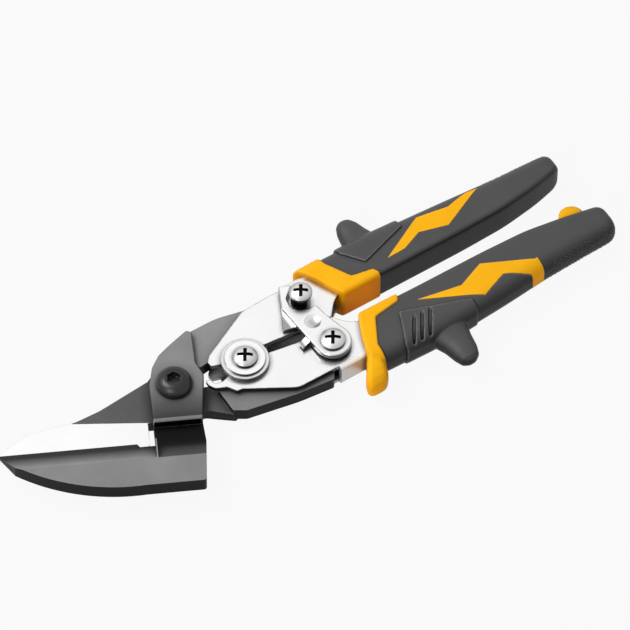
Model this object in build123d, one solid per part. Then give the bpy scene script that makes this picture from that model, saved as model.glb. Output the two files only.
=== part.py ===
from build123d import *
import os
from math import cos, radians, sin

# Compound-leverage sheet-metal snips with an offset jaw, lying flat.
# In plan the blade pivot is at the origin and +X runs along the handles, towards the grips.
# All heights below are from the shear plane, where the two blades slide on each other;
# the finished pieces are lifted so that the rest plane, under the blade nut, is at z = 0.

# ---------------------------------------------------------------- driving dimensions (mm)
# linkage, in plan
axis_y = -5.45              # the handles' centre line, offset from the blade pivot
handle_pivot_x = 28.1       # handle pivot, on that centre line
link_x = 60.1               # both link screws
link_spread = 22.7          # between the two link screws
jaw_angle = -26.2           # cutting line, from +X

# clearances
shear_gap = 0.05            # each blade's face from the shear plane
running_gap = 0.05          # radial, turning pins and bushes
link_float = 0.40           # radial, the open pivot of the linkage
slide_gap = 0.10            # between sheets that slide on each other
close_gap = 0.30            # between the handles' edges when closed

# blades
plate_t = 5.5               # pivot plates, each side of the shear plane
tang_t = 6.0                # tangs, centred on the shear plane
jaw_t = 6.8                 # front jaw, above the shear plane
neck_floor = 1.6            # recess between the front pivot plate and its jaw
neck_drop = 2.0             # how far that neck reaches below the shear plane
neck_flat = 4.4             # flat floor of the recess, across the jaw
plate_right = 10.0          # pivot plate's half width, along the jaw
plate_left = 9.3
plate_low = 16.3            # pivot plate's edge above the recess
jaw_tip = 68.8              # from the pivot, along the jaw
edge_front = 22.1           # front blade's cutting edge, across the jaw
edge_lap = 1.2              # the rear blade's edge laps behind it
notch_depth = 2.3           # notch at the heel of the cutting edge
notch_length = 5.8
bevel_w = 10.9              # front blade's bevel, in plan
jaw_back = 44.7             # front jaw's back edge, across the jaw
neck_lap = 1.9              # gap between the rear jaw's heel and the neck
rear_bevel_w = 10.3         # rear blade's bevel, in plan
plate_r = 11.2              # rear pivot plate's round
plate_gap = 0.6             # from that round to the front blade's tang
tang_end_r = 8.0            # tang's eye round a link
spot_depth = 1.0            # spot face for the blade nut
spot_r = 9.0

# blade bolt
bolt_r = 4.0
bolt_head_r = 7.0
bolt_head_h = 4.4
hex_socket = 5.0            # across flats
hex_depth = 2.8
nut_flats = 13.0
nut_h = 4.0

# handles
channel_t = 10.4            # over the two flanges
sheet_t = 1.8
web_x = 57.0                # the web starts here
web_half = 22.35            # the web's face, from the centre line
web_corner = 1.5            # bend radius over the web
ear_r = 7.2                 # upper handle's ear under the raised disc
disc_r = 9.2                # raised disc of the lower handle

# handle pivot and links
pivot_barrel_r = 3.5
pivot_screw_r = 2.2
pivot_bush_r = 5.2
washer_r = 7.75
washer_t = 0.9
pan_r = 4.75                # handle pivot's screw head
pan_h = 2.6
link_barrel_r = 2.75
link_screw_r = 1.9
link_bush_r = 4.0
upper_head_r = 4.4
lower_head_r = 4.8
link_head_h = 2.4
sleeve_flange_r = 5.4
collar_r = 3.85
collar_top = 12.2
recess_w = 1.3              # cross recess
recess_depth = 1.4
recess_turn = 57.0          # how the screws happen to be clocked

# latch
latch_under = 6.6           # its underside
latch_t = 2.2
latch_eye_r = 7.1
latch_play = 1.6            # between the hook and the collar
dimple_r = 3.1
dimple_depth = 0.9
tab_t = 0.9                 # turned-down thumb tabs
wave_r = 6.2

# return spring
wire_r = 0.8
spring_turns = 4
spring_play = 0.5           # round the bush
coil_lap = 0.04             # the turns are drawn as rings that just run together
leg_x = 43.0                # where the legs end, between the tangs
leg_out = 6.2

# grips
grip_top = 7.5
grip_bottom = -8.5
sleeve_inner_r = 2.4        # corner rounds of the grip, inner side
sleeve_outer_r = 6.6        # and outer side
inlay_proud = 0.25          # zigzag above the sleeve
guard_half = 4.2            # finger guard's half thickness
panel_depth = 1.4           # finger guard's panel, into the grip
bumper_x = 170.3            # bumper on the lower grip's inner side
bumper_out = 8.8            # its centre, from the centre line
bumper_r = 5.1
bumper_half = 4.0
tongue_inset = 1.0          # the tongue is this much thinner than the grip, each side
tongue_corner = [0, 0, 0, 1.5, 1.5, 2.0, 2.0, 0, 0, 0]

# ---------------------------------------------------------------- worked out
rest_height = -grip_bottom  # shear plane above the rest plane
flange_top = channel_t / 2
flange_in = flange_top - sheet_t
disc_under = flange_top + slide_gap
disc_top = disc_under + sheet_t
latch_top = latch_under + latch_t
upper_link_y = axis_y + link_spread / 2
lower_link_y = axis_y - link_spread / 2
tang_half = tang_t / 2
big = 400.0

JAW = Location((0, 0, 0), (0, 0, jaw_angle))


# ---------------------------------------------------------------- helpers
def face_of(points, radius=0.0):
    """A plan outline from its corner points, rounded by one radius or one radius each."""
    return make_face(FilletPolyline(*points, radius=radius, close=True))


def plate(face, low, high):
    """A flat piece between two heights."""
    return Pos(0, 0, low) * extrude(face, high - low, dir=(0, 0, 1))


def disc(x, y, radius, low, high):
    """A round plate or a pin, standing on the plan at x, y."""
    return Pos(x, y, low) * extrude(Circle(radius), high - low)


def ring(x, y, outer, inner, low, high):
    return disc(x, y, outer, low, high) - disc(x, y, inner, low - 1, high + 1)


def sector(x, y, radius, start, end, low, high):
    """A pie slice round x, y, from one angle to another."""
    mid = (start + end) / 2
    reach = radius / cos(radians((end - start) / 4))
    turns = [start, (start + mid) / 2, mid, (mid + end) / 2, end]
    rim = [(x + reach * cos(radians(a)), y + reach * sin(radians(a))) for a in turns]
    return plate(face_of([(x, y)] + rim), low, high)


def both_sides(solid):
    """A flange feature and its twin on the rear flange."""
    return solid + mirror(solid, about=Plane.XY)


def save(name, shape):
    shape = Pos(0, 0, rest_height) * shape
    shape.label = name
    export_step(shape, f"parts/{name}.step")


def pan_head(x, y, radius, height, seat):
    """A domed Phillips head standing on its seat."""
    rim = 0.35 * height
    dome = (radius ** 2 + (height - rim) ** 2) / (2 * (height - rim))
    head = disc(x, y, radius, seat, seat + height)
    ball = Pos(x, y, seat + height - dome) * Sphere(dome)
    skirt = disc(x, y, radius, seat, seat + rim)
    arm = 0.62 * radius
    bar = Box(2 * arm, recess_w, recess_depth) + Box(recess_w, 2 * arm, recess_depth)
    cross = Pos(x, y, seat + height - recess_depth / 2) * Rot(0, 0, recess_turn) * bar
    return (head & ball) + skirt - cross


def screw(x, y, head_r, head_h, seat, shank_r, end):
    return pan_head(x, y, head_r, head_h, seat) + disc(x, y, shank_r, end, seat)


def sleeve_nut(x, y, barrel_r, bore_r, seat, top):
    """A barrel with a thin rear flange; the screw runs down its bore."""
    flange = disc(x, y, sleeve_flange_r, grip_bottom, seat)
    slot = Pos(x, y, grip_bottom) * Box(2 * sleeve_flange_r, recess_w, 1.2)
    return flange + disc(x, y, barrel_r, seat, top) - disc(x, y, bore_r, seat, top + 1) - slot


# ---------------------------------------------------------------- blades
def across(points_tz, start, length):
    """A section across the jaw (distance across, height), run along the jaw."""
    plane = Plane(origin=(start, 0, 0), x_dir=(0, 1, 0), z_dir=(1, 0, 0))
    return extrude(plane * make_face(Polyline(*points_tz, close=True)), length)


def front_neck():
    """The recessed neck between the pivot plate and the jaw, with its concave run-up."""
    floor_end = -plate_low - neck_flat
    crest = -edge_front - bevel_w
    arc = TangentArc((floor_end, neck_floor), (crest, jaw_t), tangent=(-1, 0))
    rest = Polyline(
        (crest, jaw_t),
        (-jaw_back, jaw_t),
        (-jaw_back, shear_gap),
        (-edge_front - 4.5, shear_gap),
        (-edge_front - 2.5, -neck_drop),
        (-plate_low - 0.8, -neck_drop),
        (-plate_low + 0.6, shear_gap),
        (-plate_low + 1.5, shear_gap),
        (-plate_low + 1.5, neck_floor),
        (floor_end, neck_floor),
    )
    plane = Plane(origin=(-plate_left, 0, 0), x_dir=(0, 1, 0), z_dir=(1, 0, 0))
    block = extrude(plane * make_face([arc, *rest.edges()]), plate_left + plate_right)
    heel = [
        (-plate_left, -plate_low + 2),
        (plate_right - 0.7, -plate_low + 2),
        (plate_right - 0.1, -edge_front - 2),
        (plate_right - 1.9, -jaw_back),
        (-plate_left, -jaw_back),
    ]
    return block & plate(face_of(heel, [0, 0, 4, 1.2, 0]), -big, big)


def front_jaw():
    """The jaw ahead of the neck, up to the tip."""
    heel = -edge_front - notch_depth
    nose = (-jaw_tip + 6.3, -edge_front - 9.2)
    belly = (-plate_left - 4.7, -jaw_back)
    front = Polyline(
        belly,
        (-plate_left + 0.5, -jaw_back),
        (-plate_left + 0.5, heel),
        (-plate_left - notch_length, heel),
        (-plate_left - notch_length - 0.9, -edge_front),
        (-jaw_tip, -edge_front),
        nose,
    )
    back = ThreePointArc(nose, (-40.0, -jaw_back + 2.8), belly)
    body = plate(make_face([*front.edges(), back]), shear_gap, jaw_t)
    land = shear_gap + 0.25
    bevel = [
        (-edge_front, land),
        (-edge_front - bevel_w, jaw_t),
        (-edge_front - bevel_w, big),
        (big, big),
        (big, land),
    ]
    cut = across(bevel, -jaw_tip - 1, jaw_tip + 1 - plate_left)
    return body - cut


def lower_blade():
    """Front blade: pivot plate, neck and jaw, and the tang up to the upper handle."""
    outline = [
        (-plate_left, -plate_low),
        (plate_right - 0.7, -plate_low),
        (plate_right + 1.6, 3.5),
        (plate_right - 1.0, 9.0),
        (plate_right - 1.2, 23.2),
        (plate_right - 3.2, 24.0),
        (0.0, 18.2),
        (-4.6, 13.8),
        (-7.6, 8.4),
        (-plate_left, 0.5),
    ]
    face = face_of(outline, [0.5, 0.5, 3, 4, 0.8, 0.8, 5, 4, 4, 4])
    pivot = chamfer_top(plate(face, shear_gap, plate_t), plate_t, 0.4)
    blade = JAW * (pivot + front_neck() + front_jaw())
    tang = [
        (9.0, 5.0),
        (11.0, 15.0),
        (18.0, 18.5),
        (29.5, 18.5),
        (40.5, 16.0),
        (link_x - 3, upper_link_y + 7.4),
        (link_x, upper_link_y),
        (link_x - 3, upper_link_y - 7.4),
        (38.0, 2.6),
        (26.0, 4.2),
        (13.5, 2.6),
    ]
    arm = plate(face_of(tang, [0, 0, 5, 30, 30, 0, 0, 0, 20, 20, 0]), -tang_half, tang_half)
    arm += disc(link_x, upper_link_y, tang_end_r, -tang_half, tang_half)
    arm -= disc(0, 0, plate_r + plate_gap, -tang_half - 1, shear_gap)
    blade += arm
    blade -= disc(0, 0, bolt_r + running_gap, -big, big)
    return blade - disc(link_x, upper_link_y, link_bush_r + link_float, -big, big)


def upper_blade():
    """Rear blade: jaw with its ground shear face, pivot plate, and the stepped-up tang."""
    heel = -plate_left - neck_lap
    edge = -edge_front - edge_lap
    jaw = [
        (heel, edge),
        (-jaw_tip + 1.2, edge),
        (-jaw_tip, -edge_front),
        (-56.5, -13.2),
        (-38.5, -9.8),
        (-28.7, -5.5),
        (-8.7, 6.3),
        (-4.0, 11.0),
        (2.0, 0.0),
        (-2.0, -plate_low + 3.4),
        (heel, -plate_low + 3.4),
    ]
    body = plate(face_of(jaw, [1, 0.2, 0, 6, 12, 20, 3, 0, 0, 0, 0]), -plate_t, -shear_gap)
    land = -shear_gap - 0.25
    bevel = [(edge, land), (edge + rear_bevel_w, -plate_t), (edge, -big), (-big, -big), (-big, land)]
    body -= across(bevel, -jaw_tip - 1, jaw_tip + 1 + heel + 1)
    blade = JAW * body + disc(0, 0, plate_r, -plate_t, -shear_gap)
    shoulder = [
        (-6.0, -10.5),
        (5.8, -13.4),
        (12.0, -18.4),
        (15.4, -21.0),
        (16.2, -18.6),
        (13.9, -13.4),
        (10.2, -10.4),
        (6.0, -6.0),
    ]
    blade += plate(face_of(shoulder, [0, 3, 3, 1, 1, 2, 3, 0]), -plate_t, -shear_gap)
    # thinner between the shoulder and the tang, to pass inside the lower handle's lug
    step = [
        (2.0, -10.5),
        (8.0, -15.2),
        (13.6, -20.4),
        (17.6, -12.0),
        (16.8, -7.6),
        (13.0, -5.0),
        (9.0, -3.4),
    ]
    blade += plate(face_of(step, [0, 0, 0, 0, 2, 3, 0]), -tang_half, -shear_gap)
    tang = [
        (13.5, -9.2),
        (13.5, -20.5),
        (17.9, -23.3),
        (38.8, -27.3),
        (web_x - 3.8, -28.8),
        (web_x - 1.4, -25.0),
        (link_x, lower_link_y - 7.0),
        (link_x, lower_link_y),
        (link_x - 4, lower_link_y + 6.6),
        (36.0, -14.9),
        (24.0, -14.6),
        (17.5, -9.2),
    ]
    arm = plate(face_of(tang, [0.5, 0.5, 3, 60, 1.5, 1, 0, 0, 0, 10, 10, 1]), -tang_half, tang_half)
    arm += disc(link_x, lower_link_y, tang_end_r, -tang_half, tang_half)
    blade += arm
    blade -= disc(0, 0, spot_r, -plate_t - 1, -plate_t + spot_depth)
    blade -= disc(0, 0, bolt_r, -big, big)
    return blade - disc(link_x, lower_link_y, link_bush_r + running_gap, -big, big)


def chamfer_top(solid, height, size):
    """Break the sharp edges of a plate's top face."""
    top = solid.faces().filter_by(Axis.Z).group_by(Axis.Z)[-1]
    return chamfer(top.edges(), size)


def blade_bolt():
    """Button head bolt with a hex socket, held in the rear blade."""
    seat = plate_t
    head = pan_blank(bolt_head_r, bolt_head_h, seat)
    socket_r = hex_socket / 2 / cos(radians(30))
    top = seat + bolt_head_h
    socket = Pos(0, 0, top - hex_depth) * extrude(RegularPolygon(socket_r, 6), hex_depth + 1)
    shank_end = -plate_t + spot_depth - nut_h
    return head - socket + disc(0, 0, bolt_r, shank_end, seat)


def pan_blank(radius, height, seat):
    """A low dome with a short rim and a small flat on top."""
    rim = 0.18 * height
    flat = 0.5 * radius
    profile = [(0, seat), (radius, seat), (radius, seat + rim)]
    arc = ThreePointArc(
        (radius, seat + rim),
        (0.86 * radius, seat + 0.68 * height),
        (flat, seat + height),
    )
    lines = Polyline((flat, seat + height), (0, seat + height), *profile)
    return revolve(Plane.XZ * make_face([arc, *lines.edges()]), Axis.Z)


def blade_nut():
    seat = -plate_t + spot_depth
    flats = RegularPolygon(nut_flats / 2 / cos(radians(30)), 6)
    body = Pos(0, 0, seat - nut_h) * extrude(flats, nut_h)
    return body - disc(0, 0, bolt_r, -big, big)


# ---------------------------------------------------------------- handles
def channel(outline, radii, side):
    """A stamped channel: two flanges of one outline, and the web along its outer edge."""
    outer = axis_y + side * web_half
    ends = [(web_x, outer), (90.0, outer - side * 0.5), (130.0, outer - side * 2.5)]
    ends += [(166.0, outer - side * 4.9)]
    inner = [(x, y - side * sheet_t) for x, y in reversed(ends)]
    full = plate(face_of(outline, radii), -flange_top, flange_top)
    web = plate(make_face(Polyline(*ends, *inner, close=True)), -flange_top, flange_top)
    hollow = plate(Rectangle(2 * big, 2 * big), -flange_in, flange_in)
    body = (full - hollow) + web
    bend = body.edges().filter_by(lambda e: abs(abs(e.center().Z) - flange_top) < 0.01)
    bend = [e for e in bend if on_line(e, ends)]
    return fillet(bend, web_corner)


def on_line(edge, points):
    """True where an edge lies along a run of plan points."""
    spot = edge.center()
    for (x0, y0), (x1, y1) in zip(points, points[1:]):
        share = (spot.X - x0) / (x1 - x0)
        if 0 <= share <= 1 and abs(spot.Y - y0 - share * (y1 - y0)) < 0.02:
            return True
    return False


def upper_handle():
    """Upper channel, with the ear under the raised disc and the stop lobe left of it."""
    edge = axis_y + close_gap / 2
    outer = axis_y + web_half
    outline = [
        (16.1, -0.4),
        (16.1, 1.9),
        (18.0, 4.0),
        (39.2, 14.6),
        (50.0, outer - 1.7),
        (web_x, outer - 1.7),
        (web_x, outer),
        (90.0, outer - 0.5),
        (130.0, outer - 2.5),
        (166.0, outer - 4.9),
        (166.0, 6.6),
        (150.0, 3.4),
        (120.0, 2.8),
        (76.6, 2.8),
        (71.7, 0.7),
        (66.6, edge),
        (60.5, edge),
        (52.1, -4.0),
        (36.6, -2.5),
        (21.6, -2.2),
    ]
    radii = [0.6, 0.8, 2, 8, 0, 0, 0, 0, 0, 0, 1, 20, 20, 6, 12, 1.2, 2, 2, 0, 0]
    body = channel(outline, radii, 1)
    body += both_sides(disc(handle_pivot_x, axis_y, ear_r, flange_in, flange_top))
    body -= disc(handle_pivot_x, axis_y, pivot_barrel_r + running_gap, -big, big)
    return body - disc(link_x, upper_link_y, link_barrel_r, -big, big)


def lower_handle():
    """Lower channel: its discs are raised over the upper handle's ears; a lug stops it."""
    edge = axis_y - close_gap / 2
    outer = axis_y - web_half
    x, y = handle_pivot_x, axis_y
    outline = [
        (20.2, -7.5),
        (16.4, -8.6),
        (13.3, -8.0),
        (12.7, -5.3),
        (11.0, -4.9),
        (10.9, -7.2),
        (12.3, -9.8),
        (16.4, -11.6),
        (18.6, -15.1),
        (20.9, -15.4),
        (39.1, outer + 1.7),
        (web_x, outer + 1.7),
        (web_x, outer),
        (90.0, outer + 0.5),
        (130.0, outer + 2.5),
        (166.0, outer + 4.9),
        (166.0, -17.5),
        (150.0, -14.3),
        (120.0, -13.7),
        (76.6, -13.7),
        (71.0, -11.2),
        (66.6, edge),
        (62.0, edge),
        (57.5, -8.5),
        (50.0, -8.8),
        (36.6, -6.6),
    ]
    radii = [0, 1, 1, 0.3, 0.3, 1.2, 1.2, 1, 1, 1.5, 8, 0, 0, 0, 0, 0, 1]
    radii += [20, 20, 6, 12, 1.2, 2, 2, 4, 0]
    body = channel(outline, radii, -1)
    well = ear_r + running_gap + 0.35
    body -= disc(x, y, well, -big, big)
    wall = ring(x, y, disc_r, well, flange_in, disc_top)
    wall = wall & sector(x, y, 3 * disc_r, 192, 352, -big, big)
    cover = disc(x, y, disc_r, disc_under, disc_top)
    body += both_sides(wall + cover)
    body -= disc(x, y, pivot_barrel_r, -big, big)
    return body - disc(link_x, lower_link_y, link_barrel_r, -big, big)


# ---------------------------------------------------------------- handle pivot and links
def pivot_screw():
    seat = disc_top + washer_t
    end = -disc_top + 1.0
    return screw(handle_pivot_x, axis_y, pan_r, pan_h, seat, pivot_screw_r, end)


def pivot_washer():
    inner = pivot_screw_r + 0.1
    return ring(handle_pivot_x, axis_y, washer_r, inner, disc_top, disc_top + washer_t)


def pivot_nut():
    top = disc_top - 0.1
    return sleeve_nut(handle_pivot_x, axis_y, pivot_barrel_r, pivot_screw_r, -disc_top, top)


def pivot_bush():
    return ring(handle_pivot_x, axis_y, pivot_bush_r, pivot_barrel_r, -flange_in, flange_in)


def return_spring():
    """Torsion spring round the bush, wound close; its legs press the two tangs apart."""
    mean = pivot_bush_r + spring_play + wire_r
    pitch = 2 * wire_r - coil_lap
    height = pitch * (spring_turns - 1)
    rows = [-height / 2 + pitch * turn for turn in range(spring_turns)]
    section = Sketch() + [Pos(mean, row) * Circle(wire_r) for row in rows]
    spring = Pos(handle_pivot_x, axis_y, 0) * revolve(Plane.XZ * section, Axis.Z)
    for side in (-1, 1):
        foot = Vector(handle_pivot_x + mean, axis_y, side * height / 2)
        toe = Vector(leg_x, axis_y + side * leg_out, side * (height / 2 - wire_r))
        run = toe - foot
        spring += Plane(origin=foot, z_dir=run) * extrude(Circle(wire_r), run.length)
    return spring


def upper_screw():
    return screw(link_x, upper_link_y, upper_head_r, link_head_h, collar_top, link_screw_r, -3.0)


def upper_nut():
    return link_nut(link_x, upper_link_y, flange_top)


def lower_screw():
    seat = latch_top + running_gap
    return screw(link_x, lower_link_y, lower_head_r, link_head_h, seat, link_screw_r, -3.0)


def lower_nut():
    return link_nut(link_x, lower_link_y, latch_top + running_gap)


def link_nut(x, y, top):
    return sleeve_nut(x, y, link_barrel_r, link_screw_r, -flange_top, top)


def link_bush(y):
    return ring(link_x, y, link_bush_r, link_barrel_r, -flange_in, flange_in)


def catch_collar():
    """Tall collar on the upper link, for the latch to hook round."""
    return ring(link_x, upper_link_y, collar_r, link_screw_r, flange_top, collar_top)


# ---------------------------------------------------------------- latch
def latch():
    """Stamped plate that turns on the lower link and hooks round the catch collar."""
    hook = collar_r + latch_play
    x, y = link_x, upper_link_y
    eye_left = link_x - latch_eye_r
    outline = [
        (eye_left, lower_link_y),
        (51.4, 6.0),
        (55.7, 15.0),
        (60.3, 13.0),
        (x - 0.40 * hook, y + 0.92 * hook),
        (x - 0.88 * hook, y + 0.48 * hook),
        (x - hook, y - 0.20 * hook),
        (x - 0.70 * hook, y - 0.80 * hook),
        (x, y - 1.02 * hook),
        (63.4, y - 1.02 * hook),
        (64.0, -4.5),
        (link_x + latch_eye_r, lower_link_y),
    ]
    radii = [0, 1.5, 0.6, 0.6, 1, 2, 2, 2, 1, 1, 6, 0]
    body = plate(face_of(outline, radii), latch_under, latch_top)
    body += disc(link_x, lower_link_y, latch_eye_r, latch_under, latch_top)
    body = chamfer_top(body, latch_top, 0.3)
    bowl_r = (dimple_r ** 2 + dimple_depth ** 2) / (2 * dimple_depth)
    body -= Pos(58.2, -5.6, latch_top - dimple_depth + bowl_r) * Sphere(bowl_r)
    slope = [
        (53.0, latch_top - 0.4),
        (47.0, flange_top + 0.4 + tab_t),
        (47.0, flange_top + 0.4),
        (53.0, latch_top - 0.4 - tab_t),
    ]
    strip = Plane.XZ * make_face(Polyline(*slope, close=True))
    strip = extrude(strip, 20, both=True)
    tabs = plate(face_of([(53.0, 5.4), (51.0, 5.4), (47.2, -2.0), (53.0, -4.4)], 0.3), 0, big)
    tabs += plate(face_of([(53.4, -9.6), (49.2, -10.2), (49.2, -13.2), (53.4, -12.4)], 0.3), 0, big)
    body += strip & tabs
    return body - disc(link_x, lower_link_y, link_barrel_r + running_gap, -big, big)


def wave_washer():
    inner = link_barrel_r + running_gap
    return ring(link_x, lower_link_y, wave_r, inner, flange_top, latch_under - running_gap)


# ---------------------------------------------------------------- grips
def grip_form(stations, side, inset):
    """The grip's outer form, or the same form drawn in by a wall's thickness."""
    faces = []
    for x, near, over_web, depth in stations:
        far = web_half + over_web
        low = axis_y + side * (near + inset)
        high = axis_y + side * (far - inset)
        top = grip_top - depth - inset
        bottom = grip_bottom + depth + inset
        room = 0.42 * min(far - near - 2 * inset, top - bottom)
        fine = min(sleeve_inner_r - inset / 2, 0.5 * room)
        broad = min(sleeve_outer_r - inset, room)
        if side > 0:
            corners = [(low, bottom), (high, bottom), (high, top), (low, top)]
            rounds = [fine, broad, broad, fine]
        else:
            corners = [(high, bottom), (low, bottom), (low, top), (high, top)]
            rounds = [broad, fine, fine, broad]
        plane = Plane(origin=(x, 0, 0), x_dir=(0, 1, 0), z_dir=(1, 0, 0))
        faces.append(plane * face_of(corners, rounds))
    return loft(faces, ruled=True)


# along the grip: x, inner side from the centre line, outer side from the handles' web at
# its widest, and how far it thins
UPPER_GRIP = [
    (58.0, 5.7, 2.65, 0.0),
    (76.0, 5.6, 3.25, 0.0),
    (100.0, 5.7, 3.05, 0.0),
    (130.0, 5.9, 1.35, 0.0),
    (150.0, 6.6, 0.05, 0.1),
    (166.0, 8.8, -0.75, 0.4),
    (175.0, 10.8, -1.75, 1.4),
    (178.5, 12.6, -3.35, 3.4),
]
LOWER_GRIP = [
    (58.0, 5.7, 4.05, 0.0),
    (76.0, 5.6, 5.05, 0.0),
    (100.0, 5.9, 5.65, 0.0),
    (130.0, 5.9, 3.55, 0.0),
    (150.0, 6.4, 1.65, 0.1),
    (166.0, 8.6, 1.05, 0.4),
    (178.0, 11.8, 0.45, 1.4),
    (182.5, 14.2, -1.55, 3.4),
]
FRONT_CUT = [(64.6, 27.5), (20.0, 27.5), (20.0, 3.4), (76.3, 3.4)]
COLLAR_BACK = [(76.4, 30.0), (76.4, 21.2), (82.4, 10.4), (91.1, 8.8), (92.3, 6.4), (92.3, 3.0)]
PANEL = [(83.6, 30.0), (83.6, 21.8), (90.3, 12.9), (110.8, 20.6), (110.8, 30.0)]
UPPER_ZIGZAG = [
    (98.4, 10.0),
    (117.9, 20.2),
    (131.0, 17.8),
    (142.6, 18.6),
    (126.5, 10.6),
    (114.9, 13.8),
    (106.4, 10.3),
]
LOWER_ZIGZAG = [
    (97.4, 12.2),
    (121.0, 23.6),
    (131.7, 19.4),
    (142.2, 24.2),
    (147.0, 23.4),
    (146.6, 20.6),
    (126.6, 11.0),
    (115.3, 15.6),
]
UPPER_FIN = [(88.6, 21.0), (90.8, 35.2), (93.4, 38.0), (96.8, 38.0), (99.2, 35.2), (103.4, 21.0)]
LOWER_TONGUE = [(66.6, 19.0), (65.2, 24.0), (63.8, 28.5), (62.9, 31.0), (63.9, 34.2), (68.6, 34.2)]
LOWER_TONGUE += [(71.8, 31.0), (72.6, 28.5), (73.2, 24.0), (73.6, 19.0)]
LOWER_FIN = [(94.2, 22.5), (97.6, 39.0), (100.4, 43.0), (105.0, 43.0), (107.8, 39.5), (110.4, 22.5)]


def off_centre(points, side):
    """Plan points given as x and distance from the centre line, put on one side of it."""
    placed = [(x, axis_y + side * d) for x, d in points]
    return placed if side > 0 else placed[::-1]


def side_prism(points, side, low, high):
    return plate(make_face(Polyline(*off_centre(points, side), close=True)), low, high)


def bumper():
    """Round stop on the lower grip's inner side, moulded with the core."""
    middle = (grip_top + grip_bottom) / 2
    low, high = middle - bumper_half, middle + bumper_half
    return disc(bumper_x, axis_y - bumper_out, bumper_r, low, high)


def tongue():
    """The lower collar runs out into a tongue that keeps the hand off the blades."""
    low, high = grip_bottom + tongue_inset, grip_top - tongue_inset
    blank = plate(face_of(off_centre(LOWER_TONGUE, -1), tongue_corner), low, high)
    return fillet_long(blank)


def grip(stations, zigzag, fin, side, handle, lumps):
    """Core with its collar and zigzag, sleeve over it, and the finger guard's panel."""
    form = grip_form(stations, side, 0.0) - side_prism(FRONT_CUT, side, -big, big)
    inner = grip_form(stations, side, panel_depth) - side_prism(FRONT_CUT, side, -big, big)
    front = COLLAR_BACK + [(50.0, 3.0), (50.0, 30.0)]
    collar = form & side_prism(front, side, -big, big)
    shell = form - inner - side_prism(front, side, -big, big)
    window = side_prism(zigzag, side, 0, grip_top + inlay_proud)
    window += side_prism(zigzag, side, grip_bottom, 0)
    inlay = window - inner
    panel = side_prism(PANEL, side, -big, big)
    guard = shell & panel
    blade = plate(face_of(off_centre(fin, side), [0, 4, 2.5, 2.5, 4, 0]), -guard_half, guard_half)
    blade = Pos(0, 0, (grip_top + grip_bottom) / 2) * fillet_long(blade)
    guard += blade - inner
    core = inner + collar + inlay
    sleeve = shell - panel - window - blade
    for lump in lumps:
        core += lump
        sleeve -= lump
    return core - handle, sleeve, guard


def fillet_long(blade):
    """Round the fin's two outlines."""
    rims = blade.faces().filter_by(Axis.Z).edges()
    return fillet(rims, 1.6)


# ---------------------------------------------------------------- the pieces
os.makedirs("parts", exist_ok=True)
upper = upper_handle()
lower = lower_handle()
save("upper_blade", upper_blade())
save("lower_blade", lower_blade())
save("blade_bolt", blade_bolt())
save("blade_nut", blade_nut())
save("upper_handle", upper)
save("lower_handle", lower)
save("handle_pivot_screw", pivot_screw())
save("handle_pivot_washer", pivot_washer())
save("handle_pivot_nut", pivot_nut())
save("handle_pivot_bush", pivot_bush())
save("return_spring", return_spring())
save("upper_link_screw", upper_screw())
save("upper_link_nut", upper_nut())
save("upper_link_bush", link_bush(upper_link_y))
save("catch_collar", catch_collar())
save("lower_link_screw", lower_screw())
save("lower_link_nut", lower_nut())
save("lower_link_bush", link_bush(lower_link_y))
save("latch", latch())
save("latch_wave_washer", wave_washer())
for name, stations, zigzag, fin, side, handle, lumps in (
    ("upper", UPPER_GRIP, UPPER_ZIGZAG, UPPER_FIN, 1, upper, []),
    ("lower", LOWER_GRIP, LOWER_ZIGZAG, LOWER_FIN, -1, lower, [bumper(), tongue()]),
):
    core, sleeve, guard = grip(stations, zigzag, fin, side, handle, lumps)
    save(f"{name}_grip_core", core)
    save(f"{name}_grip_sleeve", sleeve)
    save(f"{name}_finger_guard", guard)
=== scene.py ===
import math

import bmesh
import bpy
import numpy as np
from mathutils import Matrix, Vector


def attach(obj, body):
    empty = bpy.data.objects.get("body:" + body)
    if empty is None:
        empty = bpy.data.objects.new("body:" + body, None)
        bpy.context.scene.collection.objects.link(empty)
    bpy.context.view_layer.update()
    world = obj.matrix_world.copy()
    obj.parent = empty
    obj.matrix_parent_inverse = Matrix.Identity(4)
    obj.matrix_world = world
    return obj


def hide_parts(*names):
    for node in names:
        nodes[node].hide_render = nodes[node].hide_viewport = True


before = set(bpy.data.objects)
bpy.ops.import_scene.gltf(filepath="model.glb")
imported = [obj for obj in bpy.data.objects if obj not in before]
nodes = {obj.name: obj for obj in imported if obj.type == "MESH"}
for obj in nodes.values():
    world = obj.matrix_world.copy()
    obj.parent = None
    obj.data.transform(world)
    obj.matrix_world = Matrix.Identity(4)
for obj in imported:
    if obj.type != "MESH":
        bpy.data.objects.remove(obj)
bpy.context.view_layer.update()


# ---------------------------------------------------------------- bench, light and camera
# The snips lie flat on a pale bench under one large soft lamp, with a weaker
# one in front. The camera looks down on them from the lower grip's side.
def tone(red, green=None, blue=None):
    """A linear colour, as the shader wants it, from 0 to 255 display steps."""
    steps = (red, red if green is None else green, red if blue is None else blue)
    linear = [((s / 255 + 0.055) / 1.055) ** 2.4 if s > 10 else s / 255 / 12.92 for s in steps]
    return (*linear, 1.0)


def link(tree, source, target):
    tree.links.new(source, target)


def feed(tree, value, socket):
    """Set a socket to a number or colour, or link another socket into it."""
    if isinstance(value, (int, float, tuple)):
        socket.default_value = value
    else:
        link(tree, value, socket)


def add(tree, kind, **settings):
    """A new node with its settings."""
    node = tree.nodes.new(kind)
    for name, value in settings.items():
        setattr(node, name, value)
    return node


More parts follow.
